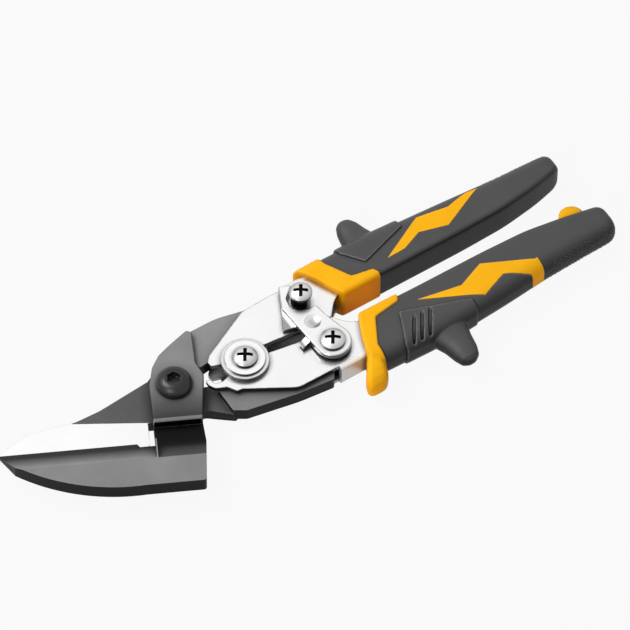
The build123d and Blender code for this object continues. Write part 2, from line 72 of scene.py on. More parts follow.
def maths(tree, operation, first, second=None, third=None, clamp=False):
    node = add(tree, "ShaderNodeMath", operation=operation, use_clamp=clamp)
    for socket, value in zip(node.inputs, (first, second, third)):
        if value is not None:
            feed(tree, value, socket)
    return node.outputs[0]


def seen_directly(tree):
    """1 where the ray comes from the camera, gloss or glass, 0 for soft light."""
    path = add(tree, "ShaderNodeLightPath")
    seen = maths(tree, "MAXIMUM", path.outputs["Is Camera Ray"], path.outputs["Is Glossy Ray"])
    return maths(tree, "MAXIMUM", seen, path.outputs["Is Transmission Ray"])


scene = bpy.context.scene
scene.view_settings.view_transform = "Standard"
backdrop = tone(250)
world = bpy.data.worlds.new("studio")
world.use_nodes = True
scene.world = world
sky = world.node_tree
sky.nodes.clear()
seen_sky = add(sky, "ShaderNodeBackground")
seen_sky.inputs["Color"].default_value = backdrop
soft_sky = add(sky, "ShaderNodeBackground")
soft_sky.inputs["Color"].default_value = (1.0, 1.0, 1.0, 1.0)
soft_sky.inputs["Strength"].default_value = 0.27
pick = add(sky, "ShaderNodeMixShader")
link(sky, seen_directly(sky), pick.inputs[0])
link(sky, soft_sky.outputs[0], pick.inputs[1])
link(sky, seen_sky.outputs[0], pick.inputs[2])
link(sky, pick.outputs[0], add(sky, "ShaderNodeOutputWorld").inputs["Surface"])


def area_lamp(name, place, aim, size, power):
    data = bpy.data.lights.new(name, "AREA")
    data.shape = "DISK"
    data.size = size
    data.energy = power
    lamp = bpy.data.objects.new(name, data)
    lamp.location = place
    lamp.rotation_euler = (Vector(aim) - Vector(place)).to_track_quat("-Z", "Y").to_euler()
    scene.collection.objects.link(lamp)


middle = (0.06, 0.0, 0.01)
area_lamp("key_lamp", (-0.46, 0.50, 1.12), middle, 0.8, 13.0)
area_lamp("side_lamp", (-0.9, -0.5, 0.8), middle, 0.6, 5.4)

bench_mesh = bpy.data.meshes.new("bench")
reach, bench_top = 6.0, -0.0002
bench_corners = [(-reach, -reach), (reach, -reach), (reach, reach), (-reach, reach)]
bench_mesh.from_pydata([(x, y, bench_top) for x, y in bench_corners], [], [(0, 1, 2, 3)])
bench = bpy.data.objects.new("bench", bench_mesh)
scene.collection.objects.link(bench)
bench_paint = bpy.data.materials.new("bench_paint")
bench_paint.use_nodes = True
tree = bench_paint.node_tree
tree.nodes.clear()
matt = add(tree, "ShaderNodeBsdfDiffuse")
matt.inputs["Color"].default_value = tone(228)
glow = add(tree, "ShaderNodeEmission")
glow.inputs["Color"].default_value = backdrop
faint = add(tree, "ShaderNodeMixShader")
faint.inputs[0].default_value = 0.97
link(tree, matt.outputs[0], faint.inputs[1])
link(tree, glow.outputs[0], faint.inputs[2])
pick = add(tree, "ShaderNodeMixShader")
link(tree, seen_directly(tree), pick.inputs[0])
link(tree, matt.outputs[0], pick.inputs[1])
link(tree, faint.outputs[0], pick.inputs[2])
link(tree, pick.outputs[0], add(tree, "ShaderNodeOutputMaterial").inputs["Surface"])
bench_mesh.materials.append(bench_paint)

camera_data = bpy.data.cameras.new("camera")
camera_data.sensor_width = 36.0
camera_data.lens = 350.0
camera_data.clip_end = 20.0
camera = bpy.data.objects.new("camera", camera_data)
scene.collection.objects.link(camera)
scene.camera = camera
heading, height = math.radians(-32.3), math.radians(55.5)
view_width = 0.2395
centre = Vector((0.0637, 0.0015, 0.0085))
back = Vector((math.sin(heading), -math.cos(heading), math.tan(height))).normalized()
camera.location = centre + back * view_width * camera_data.lens / camera_data.sensor_width
camera.rotation_euler = (-back).to_track_quat("-Z", "Y").to_euler()


# ---------------------------------------------------------------- blades
# The two blades are drop forged from tool steel and blacked. Their flats are then
# ground grey, and the rear jaw's cutting face is ground bright.
def new_material(name):
    material = bpy.data.materials.new(name)
    material.use_nodes = True
    tree = material.node_tree
    return material, tree, tree.nodes["Principled BSDF"]


def new_group(name, inputs, outputs):
    """A shader group with number inputs, given as name and usual value."""
    group = bpy.data.node_groups.new(name, "ShaderNodeTree")
    for label, value in inputs:
        socket = group.interface.new_socket(label, in_out="INPUT", socket_type="NodeSocketFloat")
        socket.default_value = value
    for label, kind in outputs:
        group.interface.new_socket(label, in_out="OUTPUT", socket_type=kind)
    return group, add(group, "NodeGroupInput"), add(group, "NodeGroupOutput")


def use(tree, group, **values):
    """A group's node, with its inputs set or linked by name."""
    node = add(tree, "ShaderNodeGroup", node_tree=group)
    for label, value in values.items():
        feed(tree, value, node.inputs[label])
    return node


# where a Mix node keeps its share and its two colours, and the colour it makes
MIX_INPUTS, MIX_RESULT = (0, 6, 7), 2


def mix(tree, share, first, second, blend_type="MIX"):
    """A colour between two, by a share; each is a plain value or a socket."""
    node = add(tree, "ShaderNodeMix", data_type="RGBA", blend_type=blend_type)
    for index, value in zip(MIX_INPUTS, (share, first, second)):
        feed(tree, value, node.inputs[index])
    return node.outputs[MIX_RESULT]


def shade_by(tree, colour, grey):
    """A colour times a grey."""
    return mix(tree, 1.0, colour, grey, "MULTIPLY")


def add_colour(tree, colour):
    node = add(tree, "ShaderNodeRGB")
    node.outputs[0].default_value = colour
    return node.outputs[0]


def ramp(tree, value, *stops):
    """A grey or a colour that follows a value through its stops: place, level."""
    node = add(tree, "ShaderNodeValToRGB")
    link(tree, value, node.inputs[0])
    marks = node.color_ramp.elements
    while len(marks) < len(stops):
        marks.new(0.5)
    for mark, (place, level) in zip(marks, stops):
        mark.position = place
        mark.color = (level, level, level, 1.0) if isinstance(level, (int, float)) else level
    return node.outputs[0]


def part_places(tree):
    """The piece's own coordinates in mm: whole, and x, y and z."""
    place = add(tree, "ShaderNodeTexCoord").outputs["Object"]
    scaled = add(tree, "ShaderNodeVectorMath", operation="SCALE")
    link(tree, place, scaled.inputs[0])
    scaled.inputs["Scale"].default_value = 1000.0
    split = add(tree, "ShaderNodeSeparateXYZ")
    link(tree, scaled.outputs[0], split.inputs[0])
    return scaled.outputs[0], split.outputs[0], split.outputs[1], split.outputs[2]


def levelness(tree):
    """1 on a level face, 0 on an upright one, as the piece lies."""
    split = add(tree, "ShaderNodeSeparateXYZ")
    link(tree, add(tree, "ShaderNodeNewGeometry").outputs["Normal"], split.inputs[0])
    return maths(tree, "ABSOLUTE", split.outputs[2])


# edge mask: how much a rounded normal differs from the real one; it gives worn edges
# on the blades and the bolt, painted highlights on the plastics, and painted dark
# outlines on the plated parts
edge_wear_and_light, wear_in, wear_out = new_group(
    "edge wear and light",
    [("Width", 0.0004), ("Amount", 1.0)],
    [("Mask", "NodeSocketFloat")],
)
rounded = add(edge_wear_and_light, "ShaderNodeBevel", samples=4)
link(edge_wear_and_light, wear_in.outputs["Width"], rounded.inputs["Radius"])
agree = add(edge_wear_and_light, "ShaderNodeVectorMath", operation="DOT_PRODUCT")
link(edge_wear_and_light, rounded.outputs[0], agree.inputs[0])
link(edge_wear_and_light, add(edge_wear_and_light, "ShaderNodeNewGeometry").outputs["True Normal"], agree.inputs[1])
turned = maths(edge_wear_and_light, "SUBTRACT", 1.0, agree.outputs["Value"])
patchy = add(edge_wear_and_light, "ShaderNodeTexNoise")
patchy.inputs["Scale"].default_value = 0.5
patchy.inputs["Detail"].default_value = 3.0
link(edge_wear_and_light, part_places(edge_wear_and_light)[0], patchy.inputs["Vector"])
patches = ramp(edge_wear_and_light, patchy.outputs["Fac"], (0.35, 0.45), (0.6, 1.0))
edge_share = maths(edge_wear_and_light, "MULTIPLY", turned, 7.0, clamp=True)
edge_share = maths(edge_wear_and_light, "MULTIPLY", edge_share, patches)
edge_share = maths(edge_wear_and_light, "MULTIPLY", edge_share, wear_in.outputs["Amount"], clamp=True)
link(edge_wear_and_light, edge_share, wear_out.inputs[0])

# painted shade: how enclosed a place is, for darkening corners, creases and recesses where shade
# falls
crevice_shade, crevice_in, crevice_out = new_group(
    "crevice_shade",
    [("Reach", 0.002), ("Amount", 1.0)],
    [("Mask", "NodeSocketFloat")],
)
shelter = add(crevice_shade, "ShaderNodeAmbientOcclusion", samples=6)
link(crevice_shade, crevice_in.outputs["Reach"], shelter.inputs["Distance"])
closed = maths(crevice_shade, "SUBTRACT", 1.0, shelter.outputs["AO"])
closed = maths(crevice_shade, "MULTIPLY", closed, 1.6, clamp=True)
closed = maths(crevice_shade, "MULTIPLY", closed, crevice_in.outputs["Amount"])
link(crevice_shade, closed, crevice_out.inputs[0])

# grain: an even fine tooth, as blasting or a mould leaves, drawn out along X if asked
grain, grain_in, grain_out = new_group(
    "grain",
    [("Size", 0.3), ("Draw", 1.0)],
    [("Height", "NodeSocketFloat"), ("Cloud", "NodeSocketFloat")],
)
place, x, y, z = part_places(grain)
drawn = add(grain, "ShaderNodeCombineXYZ")
link(grain, maths(grain, "DIVIDE", x, grain_in.outputs["Draw"]), drawn.inputs[0])
link(grain, y, drawn.inputs[1])
link(grain, z, drawn.inputs[2])
tooth = add(grain, "ShaderNodeTexNoise")
link(grain, drawn.outputs[0], tooth.inputs["Vector"])
link(grain, maths(grain, "DIVIDE", 1.0, grain_in.outputs["Size"]), tooth.inputs["Scale"])
tooth.inputs["Detail"].default_value = 4.0
link(grain, tooth.outputs["Fac"], grain_out.inputs["Height"])
cloud = add(grain, "ShaderNodeTexNoise")
link(grain, place, cloud.inputs["Vector"])
cloud.inputs["Scale"].default_value = 0.06
cloud.inputs["Detail"].default_value = 3.0
link(grain, cloud.outputs["Fac"], grain_out.inputs["Cloud"])


def bump(tree, surface, height, depth, rounding=0.0):
    """Bump of a depth in mm, over a normal that is rounded at the edges if asked."""
    node = add(tree, "ShaderNodeBump")
    node.inputs["Distance"].default_value = depth * 0.001
    link(tree, height, node.inputs["Height"])
    if rounding:
        soft = add(tree, "ShaderNodeBevel", samples=4)
        soft.inputs["Radius"].default_value = rounding * 0.001
        link(tree, soft.outputs[0], node.inputs["Normal"])
    link(tree, node.outputs[0], surface.inputs["Normal"])


def varied(tree, colour, height, cloud, fine=0.16, broad=0.12):
    """A colour made a little lighter and darker by its grain and by slow clouds."""
    level = maths(tree, "MULTIPLY_ADD", height, fine, 1.0 - fine / 2)
    slow = maths(tree, "MULTIPLY_ADD", cloud, broad, 1.0 - broad / 2)
    level = maths(tree, "MULTIPLY", level, slow)
    grey = add(tree, "ShaderNodeCombineColor")
    for socket in grey.inputs[:3]:
        link(tree, level, socket)
    return shade_by(tree, colour, grey.outputs[0])


def share_of_way(tree, value, start, end):
    """How far a value has come from a start to an end, held between 0 and 1."""
    come = maths(tree, "SUBTRACT", value, start)
    return maths(tree, "DIVIDE", come, end - start, clamp=True)


JAW_TURN = math.radians(26.2)


def blade_finish(name, low_face, high_face, low_z, high_z, rear):
    """Forged steel: black flanks with painted shade by steepness, ground flats, and the rear jaw's
    bright face.
    """
    material, tree, surface = new_material(name)
    x, y, z = part_places(tree)[1:]
    tooth = use(tree, grain, Size=0.22, Draw=1.0)
    level = levelness(tree)

    # along the jaws, and across them from the pivot, in mm
    sine, cosine = math.sin(JAW_TURN), math.cos(JAW_TURN)
    x_along, y_along = maths(tree, "MULTIPLY", x, cosine), maths(tree, "MULTIPLY", y, sine)
    x_across, y_across = maths(tree, "MULTIPLY", x, sine), maths(tree, "MULTIPLY", y, cosine)
    along = maths(tree, "SUBTRACT", x_along, y_along)
    across = maths(tree, "ADD", x_across, y_across)

    rise = share_of_way(tree, z, low_z, high_z)
    flat_tone = ramp(tree, rise, (0.0, low_face), (1.0, high_face))
    # partly the forged black, partly painted shade: steep flanks are painted darker and the bevels
    # lighter as they level out
    flank_stops = [(0.0, tone(8)), (0.45, tone(20)), (0.80, tone(130)), (0.94, tone(160))]
    flank_tone = ramp(tree, level, *flank_stops)
    is_flat = ramp(tree, level, (0.955, 0.0), (0.985, 1.0))
    colour = mix(tree, is_flat, flank_tone, flat_tone)
    colour = varied(tree, colour, tooth.outputs["Height"], tooth.outputs["Cloud"], 0.45, 0.45)
    if not rear:
        # painted shade: the neck under the pivot plate is painted dark, and the pivot plate's foot
        # is painted darker towards it
        neck_edge, neck_low, neck_high = -14.8, 10.0, 15.3
        foot_start, foot_end = -16.3, 9.7
        neck_stops = [(0.0, 0.02), (0.14, 0.05), (0.4, 0.34), (0.9, 0.95), (1.0, 1.0)]
        foot_stops = [(0.0, 0.14), (0.3, 0.42), (0.6, 0.85), (1.0, 1.0)]
        in_neck = maths(tree, "LESS_THAN", across, neck_edge)
        neck_shade = ramp(tree, share_of_way(tree, z, neck_low, neck_high), *neck_stops)
        foot_shade = ramp(tree, share_of_way(tree, across, foot_start, foot_end), *foot_stops)
        colour = shade_by(tree, colour, mix(tree, in_neck, foot_shade, neck_shade))
    # painted shade: darker in creases, in the slot and under the bolt head, where shade falls
    painted_shade = use(tree, crevice_shade, Reach=0.0048, Amount=0.62).outputs[0]
    colour = mix(tree, painted_shade, colour, tone(8))
    edge_share = use(tree, edge_wear_and_light, Width=0.0003, Amount=0.30).outputs[0]
    colour = mix(tree, edge_share, colour, tone(165))

    rough, metal = 0.45, 0.7
    surface.inputs["Roughness"].default_value = rough
    surface.inputs["Metallic"].default_value = metal
    surface.inputs["Specular IOR Level"].default_value = 0.12
    relief = tooth.outputs["Height"]
    if rear:
        # the bright face: a strip below the grinding line, and the nose beyond it
        grind_slope, grind_line, grind_end = 0.0863, -13.76, -9.0
        nose_slope, nose_line = 0.9, -48.8
        least_level, least_height = 0.97, 8.2
        grind_offset = maths(tree, "MULTIPLY_ADD", along, grind_slope, across)
        below = maths(tree, "LESS_THAN", grind_offset, grind_line)
        strip = maths(tree, "MULTIPLY", below, maths(tree, "LESS_THAN", along, grind_end))
        nose_offset = maths(tree, "MULTIPLY_ADD", across, nose_slope, along)
        nose = maths(tree, "LESS_THAN", nose_offset, nose_line)
        bright = maths(tree, "MAXIMUM", strip, nose)
        bright = maths(tree, "MULTIPLY", bright, maths(tree, "GREATER_THAN", level, least_level))
        bright = maths(tree, "MULTIPLY", bright, maths(tree, "GREATER_THAN", z, least_height))
        streaks = use(tree, grain, Size=0.12, Draw=30.0)
        height, cloud = streaks.outputs["Height"], streaks.outputs["Cloud"]
        ground = varied(tree, add_colour(tree, tone(244)), height, cloud, 0.10, 0.08)
        colour = mix(tree, bright, colour, ground)
        link(tree, maths(tree, "MULTIPLY_ADD", bright, -0.20, rough), surface.inputs["Roughness"])
        link(tree, maths(tree, "MULTIPLY_ADD", bright, 0.3, metal), surface.inputs["Metallic"])
        relief = maths(tree, "MULTIPLY", relief, maths(tree, "MULTIPLY_ADD", bright, -0.9, 1.0))
    link(tree, colour, surface.inputs["Base Color"])
    bump(tree, surface, relief, 0.04, 0.25)
    return material


def finish_nodes(material, *names):
    """Give carried-over parts their material."""
    for name in names:
        mesh = nodes[name].data
        mesh.materials.clear()
        mesh.materials.append(material)


front_steel = blade_finish("front_blade_steel", tone(136), tone(119), 11.4, 15.3, rear=False)
rear_steel = blade_finish("rear_blade_steel", tone(82), tone(116), 8.4, 11.5, rear=True)
finish_nodes(front_steel, "lower_blade")
finish_nodes(rear_steel, "upper_blade")

# ---------------------------------------------------------------- blade bolt and its nut
# An M8 button head bolt and a hexagon nut of hardened steel, black oxided; the
# bolt sets how tightly the blades run on each other.
material, tree, surface = new_material("black_oxide")
tooth = use(tree, grain, Size=0.18, Draw=1.0)
colour = add_colour(tree, tone(24))
colour = varied(tree, colour, tooth.outputs["Height"], tooth.outputs["Cloud"], 0.3, 0.3)
# painted shade: darker in the socket and the creases
colour = mix(tree, use(tree, crevice_shade, Reach=0.003, Amount=0.9).outputs[0], colour, tone(5))
colour = mix(tree, use(tree, edge_wear_and_light, Width=0.0004, Amount=0.30).outputs[0], colour, tone(140))
link(tree, colour, surface.inputs["Base Color"])
surface.inputs["Metallic"].default_value = 0.2
surface.inputs["Roughness"].default_value = 0.34
bump(tree, surface, tooth.outputs["Height"], 0.02, 0.3)
finish_nodes(material, "blade_bolt", "blade_nut")

# ---------------------------------------------------------------- handles and latch
# Pressed from 1.8 mm sheet and nickel plated. The faces are polished and the folded
# webs are satin; the webs, the sheared edges and the low insides get painted shade.
AXIS_Y = -5.45  # the centre line of the handles, in mm
WEB_OUT, WEB_FROM = 20.0, 56.0  # a web lies beyond these: out from that line, and along


def pressing(name, shaded_below, inside_shade_tone):
    """Nickel plate: bright faces and satin webs, with painted shade on steep sides, edges, creases
    and low insides.
    """
    material, tree, surface = new_material(name)
    x, y, z = part_places(tree)[1:]
    streaks = use(tree, grain, Size=0.15, Draw=14.0)
    level = levelness(tree)
    out = maths(tree, "ABSOLUTE", maths(tree, "SUBTRACT", y, AXIS_Y))
    is_web = maths(tree, "GREATER_THAN", out, WEB_OUT)
    is_web = maths(tree, "MULTIPLY", is_web, maths(tree, "GREATER_THAN", x, WEB_FROM))
    # painted shade by steepness: steep sides are painted dark, the web's sides less so, and level
    # faces bright
    side_tone = mix(tree, is_web, tone(70), tone(200))
    face_share = ramp(tree, level, (0.25, 0.0), (0.92, 0.85), (0.98, 1.0))
    colour = mix(tree, face_share, side_tone, tone(243))
    # painted shade: below a height, the web apart, the plate is painted darker, as the low inner
    # faces lie in shadow
    above = maths(tree, "SUBTRACT", z, shaded_below, clamp=True)
    low = maths(tree, "SUBTRACT", 1.0, above, clamp=True)
    inside = maths(tree, "MULTIPLY", low, maths(tree, "SUBTRACT", 1.0, is_web))
    colour = mix(tree, inside, colour, inside_shade_tone)
    # painted shade: a dark outline painted along the edges
    colour = mix(tree, use(tree, edge_wear_and_light, Width=0.0007, Amount=1.0).outputs[0], colour, tone(72))
    colour = varied(tree, colour, streaks.outputs["Height"], streaks.outputs["Cloud"], 0.06, 0.10)
    # painted shade in creases and recesses
    colour = mix(tree, use(tree, crevice_shade, Reach=0.0022, Amount=0.7).outputs[0], colour, tone(50))
    link(tree, colour, surface.inputs["Base Color"])
    web_loss = maths(tree, "MULTIPLY", is_web, 0.55)
    inside_loss = maths(tree, "MULTIPLY", inside, 0.8)
    less_metal = maths(tree, "MAXIMUM", web_loss, inside_loss)
    link(tree, maths(tree, "SUBTRACT", 1.0, less_metal), surface.inputs["Metallic"])
    surface.inputs["Roughness"].default_value = 0.26
    bump(tree, surface, streaks.outputs["Height"], 0.012, 0.2)
    return material


finish_nodes(pressing("nickel_plate", 8.0, tone(190)), "upper_handle", "lower_handle")
finish_nodes(pressing("latch_plate", 15.9, tone(70)), "latch")

# ---------------------------------------------------------------- screws, washers, bushes and nuts
# Cross recessed pan head screws run into flanged sleeve nuts from the rear. They, the
# washer, the bushes and the catch collar are bright zinc; the springs are bare.
def bright_hardware(name, rough, *tones):
    """Plated steel with painted shading: its tone follows how steep the surface is."""
    material, tree, surface = new_material(name)
    tooth = use(tree, grain, Size=0.2, Draw=3.0)
    colour = ramp(tree, levelness(tree), *tones)
    colour = varied(tree, colour, tooth.outputs["Height"], tooth.outputs["Cloud"], 0.08, 0.08)
    # painted shade: dark outlines along the edges
    colour = mix(tree, use(tree, edge_wear_and_light, Width=0.0004, Amount=0.8).outputs[0], colour, tone(70))
    # painted shade in recesses and creases
    colour = mix(tree, use(tree, crevice_shade, Reach=0.0016, Amount=0.9).outputs[0], colour, tone(20))
    link(tree, colour, surface.inputs["Base Color"])
    surface.inputs["Metallic"].default_value = 1.0
    surface.inputs["Roughness"].default_value = rough
    bump(tree, surface, tooth.outputs["Height"], 0.012, 0.12)
    return material


# painted shading: a head's dome is painted brighter upwards, and the level floor of its recess is
# painted dark as shade
head_tones = [
    (0.0, tone(30)),
    (0.5, tone(62)),
    (0.72, tone(120)),
    (0.88, tone(200)),
    (0.996, tone(228)),
    (0.9995, tone(18)),
]
# painted shading by steepness for the washer, bushes, nuts and collar
ring_tones = [(0.0, tone(70)), (0.5, tone(80)), (0.8, tone(170)), (0.97, tone(250))]
screw_zinc = bright_hardware("screw_zinc", 0.32, *head_tones)
zinc = bright_hardware("bright_zinc", 0.22, *ring_tones)
# painted shading by steepness on the springs too
spring_steel = bright_hardware("spring_steel", 0.35, (0.0, tone(60)), (0.9, tone(140)))
screws = ["handle_pivot_screw", "upper_link_screw", "lower_link_screw"]
sleeve_nuts = ["handle_pivot_nut", "upper_link_nut", "lower_link_nut"]
bushes = ["handle_pivot_bush", "upper_link_bush", "lower_link_bush"]
finish_nodes(screw_zinc, *screws)
finish_nodes(zinc, *sleeve_nuts, *bushes, "handle_pivot_washer", "catch_collar")
finish_nodes(spring_steel, "return_spring", "latch_wave_washer")

# ---------------------------------------------------------------- grip plastics
# The core is a hard orange polypropylene with a light sheen; the sleeve is a soft
# black rubber with an even tooth.
def moulding(name, face, flank, edge, rough, size, depth, gloss):
    """A moulded plastic: its face tone, a flank tone painted as shade, painted edge highlights,
    painted crease shade, tooth and gloss.
    """
    material, tree, surface = new_material(name)
    tooth = use(tree, grain, Size=size, Draw=1.0)
    # painted shade: steep flanks are painted darker than level faces
    colour = ramp(tree, levelness(tree), (0.1, flank), (0.9, face))
    colour = varied(tree, colour, tooth.outputs["Height"], tooth.outputs["Cloud"], 0.16, 0.22)
    # painted highlight along the edges
    colour = mix(tree, use(tree, edge_wear_and_light, Width=0.0009, Amount=0.5).outputs[0], colour, edge)
    # painted shade in creases and recesses
    crevice_shade_tone = tuple(level * 0.35 for level in flank[:3]) + (1.0,)
    colour = mix(tree, use(tree, crevice_shade, Reach=0.0025, Amount=0.6).outputs[0], colour, crevice_shade_tone)
    link(tree, colour, surface.inputs["Base Color"])
    surface.inputs["Roughness"].default_value = rough
    surface.inputs["Specular IOR Level"].default_value = gloss
    bump(tree, surface, tooth.outputs["Height"], depth, 0.3)
    return material


# the flank tone is painted shade and the edge tone a painted highlight
orange = moulding(
    "orange_plastic",
    face=tone(255, 184, 26),
    flank=tone(255, 172, 0),
    edge=tone(255, 205, 80),
    rough=0.42,
    size=0.35,
    depth=0.02,
    gloss=0.06,
)
# the flank tone is painted shade and the edge tone a painted highlight
rubber = moulding(
    "black_rubber",
    face=tone(80, 80, 81),
    flank=tone(14, 14, 15),
    edge=tone(170, 170, 172),
    rough=0.40,
    size=0.30,
    depth=0.06,
    gloss=0.14,
)


# ---------------------------------------------------------------- grips: the black sleeves
# Each handle ends in a moulded grip: a soft black sleeve over a hard orange core.
# It is crisp along the inner side and full on the outer side, where the fingers lie.
MM = 0.001
SHEAR_Z = 8.5
GRIP_TOP, GRIP_BOTTOM = 7.5, -8.5  # from the shear plane


def to_frame(x, out, z, side):
    """From along the handles, out from their centre line and up, in mm, to the frame."""
    return (x * MM, (AXIS_Y + side * out) * MM, (z + SHEAR_Z) * MM)


def closed_mesh(name, points, faces):
    """A mesh object with its faces turned outwards."""
    mesh = bpy.data.meshes.new(name)
    mesh.from_pydata(points, [], faces)
    form = bmesh.new()
    form.from_mesh(mesh)
    bmesh.ops.recalc_face_normals(form, faces=form.faces)
    form.to_mesh(mesh)
    form.free()
    piece = bpy.data.objects.new(name, mesh)
    scene.collection.objects.link(piece)
    return piece


def rings_to_mesh(name, rings):
    """A skin over a row of rings with the same number of points, closed at both ends."""
    count = len(rings[0])
    points = [point for ring in rings for point in ring]
    faces = []
    for row in range(len(rings) - 1):
        for k in range(count):
            after = (k + 1) % count
            first, second = row * count, (row + 1) * count
            faces.append((first + k, first + after, second + after, second + k))
    faces.append(tuple(range(count)))
    last = (len(rings) - 1) * count
    faces.append(tuple(last + k for k in reversed(range(count))))
    return closed_mesh(name, points, faces)


def smooth_curve(xs, knots, values, reach):
    """Straight runs between knots, with their corners eased over a reach."""
    offsets = np.linspace(-reach, reach, 13)
    weights = np.cos(offsets / reach * math.pi / 2) ** 2
    spread = np.stack([np.interp(xs + offset, knots, values) for offset in offsets])
    return (spread * weights[:, None]).sum(axis=0) / weights.sum()


def grip_section(near, far, low, high, fine, broad):
    """One cross section: a rounded box, crisp on the inner side and full on the outer."""
    arcs = (
        (near, low, fine, 180),
        (far, low, broad, 270),
        (far, high, broad, 0),
        (near, high, fine, 90),
    )
    arc_steps, flat_steps = 8, 6
    corners = []
    for out, z, radius, start in arcs:
        middle_out = out + radius if out == near else out - radius
        middle_z = z + radius if z == low else z - radius
        turns = [math.radians(start + 90 * step / arc_steps) for step in range(arc_steps + 1)]
        corners.append(
            [(middle_out + radius * math.cos(a), middle_z + radius * math.sin(a)) for a in turns]
        )
    points = []
    for index, arc in enumerate(corners):
        points += arc
        (x0, z0), (x1, z1) = arc[-1], corners[(index + 1) % 4][0]
        points += [
            (x0 + (x1 - x0) * t / flat_steps, z0 + (z1 - z0) * t / flat_steps)
            for t in range(1, flat_steps)
        ]
    return points


def grip_skin(name, stations, side, swell=0.0, start=58.0):
    """The grip's whole outer form, or the same form swollen a little."""
    knots, near, far, thin = (np.array(column) for column in zip(*stations))
    end = knots[-1] + swell
    butt, ease = 5.0, 7.0
    fine_radius, broad_radius = 2.2, 6.2
    run = np.linspace(start, end - butt, 90)
    rounding = end - butt * (1 - np.sin(np.linspace(0.08, 1.5, 18)))
    xs = np.concatenate([run, rounding])
    nears, fars, thins = (smooth_curve(xs, knots, column, ease) for column in (near, far, thin))
    rings = []
    for x, inner, outer, slim in zip(xs, nears - swell, fars + swell, thins - swell):
        past = max(0.0, (x - (end - butt)) / butt)
        shrink = math.sqrt(max(1.0 - past**2.6, 0.0025))
        middle_out, middle_z = (inner + outer) / 2, (GRIP_TOP + GRIP_BOTTOM) / 2
        half_out = (outer - inner) / 2 * (0.6 + 0.4 * shrink)
        half_z = ((GRIP_TOP - GRIP_BOTTOM) / 2 - slim) * (0.45 + 0.55 * shrink)
        room = min(half_out, half_z)
        shape = grip_section(
            middle_out - half_out,
            middle_out + half_out,
            max(middle_z - half_z, GRIP_BOTTOM),
            middle_z + half_z,
            min(fine_radius, 0.5 * room),
            min(broad_radius, 0.85 * room),
        )
        rings.append([to_frame(x, out, z, side) for out, z in shape])
    return rings_to_mesh(name, rings)


def side_prism(name, outline, side, low=-20.0, high=20.0):
    """A plan outline made a prism between two heights, or right through the grip."""
    floor = [to_frame(x, out, low, side) for x, out in outline]
    roof = [to_frame(x, out, high, side) for x, out in outline]
    return rings_to_mesh(name, [floor, roof])


def settle(piece):
    """Turn a piece's modifiers into its mesh."""
    bpy.context.view_layer.update()
    final = piece.evaluated_get(bpy.context.evaluated_depsgraph_get())
    made = bpy.data.meshes.new_from_object(final)
    made.name = piece.name
    piece.modifiers.clear()
    piece.data = made


def combine(piece, tool, operation):
    """Cut, join or keep the common part of two closed forms; the tool is used up."""
    step = piece.modifiers.new("combine", "BOOLEAN")
    step.operation = operation
    step.solver = "EXACT"
    step.object = tool
    settle(piece)
    bpy.data.objects.remove(tool)


def remould(piece, voxel, passes):
    """Remesh a joined form and ease its edges, as a mould maker breaks them."""
    step = piece.modifiers.new("remesh", "REMESH")
    step.mode = "VOXEL"
    step.voxel_size = voxel * MM
    ease = piece.modifiers.new("ease", "SMOOTH")
    ease.factor = 0.5
    ease.iterations = passes
    settle(piece)
    piece.data.shade_smooth()


def crisp(piece, angle=32.0):
    """Smooth shading that keeps real corners."""
    piece.data.shade_smooth()
    piece.data.set_sharp_from_angle(angle=math.radians(angle))


def clad(piece, material, body, slot, *stands_for):
    """Material, body and the parts that the piece stands for; the slot is not used."""
    piece.data.materials.clear()
    piece.data.materials.append(material)
    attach(piece, body)
    if stands_for:
        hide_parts(*stands_for)


# a station: along, near side, far side, and how much thinner; plans: along and out
UPPER_STATIONS = [
    (58.0, 5.7, 25.0, 0.0),
    (76.0, 5.6, 25.6, 0.0),
    (100.0, 5.7, 25.4, 0.0),
    (130.0, 5.9, 23.7, 0.0),
    (150.0, 6.6, 22.4, 0.1),
    (166.0, 8.8, 21.6, 0.4),
    (178.5, 11.8, 20.6, 0.9),
]
LOWER_STATIONS = [
    (58.0, 5.7, 26.4, 0.0),
    (76.0, 5.6, 27.4, 0.0),
    (100.0, 5.9, 28.0, 0.0),
    (130.0, 5.9, 25.9, 0.0),
    (150.0, 6.4, 24.0, 0.1),
    (166.0, 8.6, 23.4, 0.4),
    (182.5, 11.4, 22.6, 0.9),
]
UPPER_ZIGZAG = [
    (98.4, 10.0),
    (117.9, 20.2),
    (131.0, 17.9),
    (140.6, 20.4),
    (145.4, 19.6),
    (126.5, 10.6),
    (114.9, 13.8),
    (106.4, 10.3),
]
LOWER_ZIGZAG = [
    (97.4, 12.2),
    (121.0, 23.6),
    (131.7, 19.6),
    (139.0, 22.9),
    (143.0, 24.3),
    (146.2, 24.2),
    (147.2, 22.8),
    (146.4, 20.4),
    (126.6, 11.0),
    (115.3, 15.6),
]
SLEEVE_FRONT = [(40.0, 60.0), (40.0, 0.0), (80.5, 0.0), (51.4, 60.0)]
GRIPS = {
    "upper": (UPPER_STATIONS, 1, UPPER_ZIGZAG),
    "lower": (LOWER_STATIONS, -1, LOWER_ZIGZAG),
}


def zigzag_tool(outline, side, hooked):
    """The inlay's window: through the top face, and for a hooked one over the side."""
    window_floor, strap_floor, above = 2.5, -3.2, 12.0
    window = side_prism("window", outline, side, window_floor, above)
    if hooked:
        strap_plan = [(141.2, 20.0), (146.9, 20.0), (148.2, 32.0), (143.2, 32.0)]
        strap = side_prism("strap", strap_plan, side, strap_floor, above)
        combine(window, strap, "UNION")
    return window


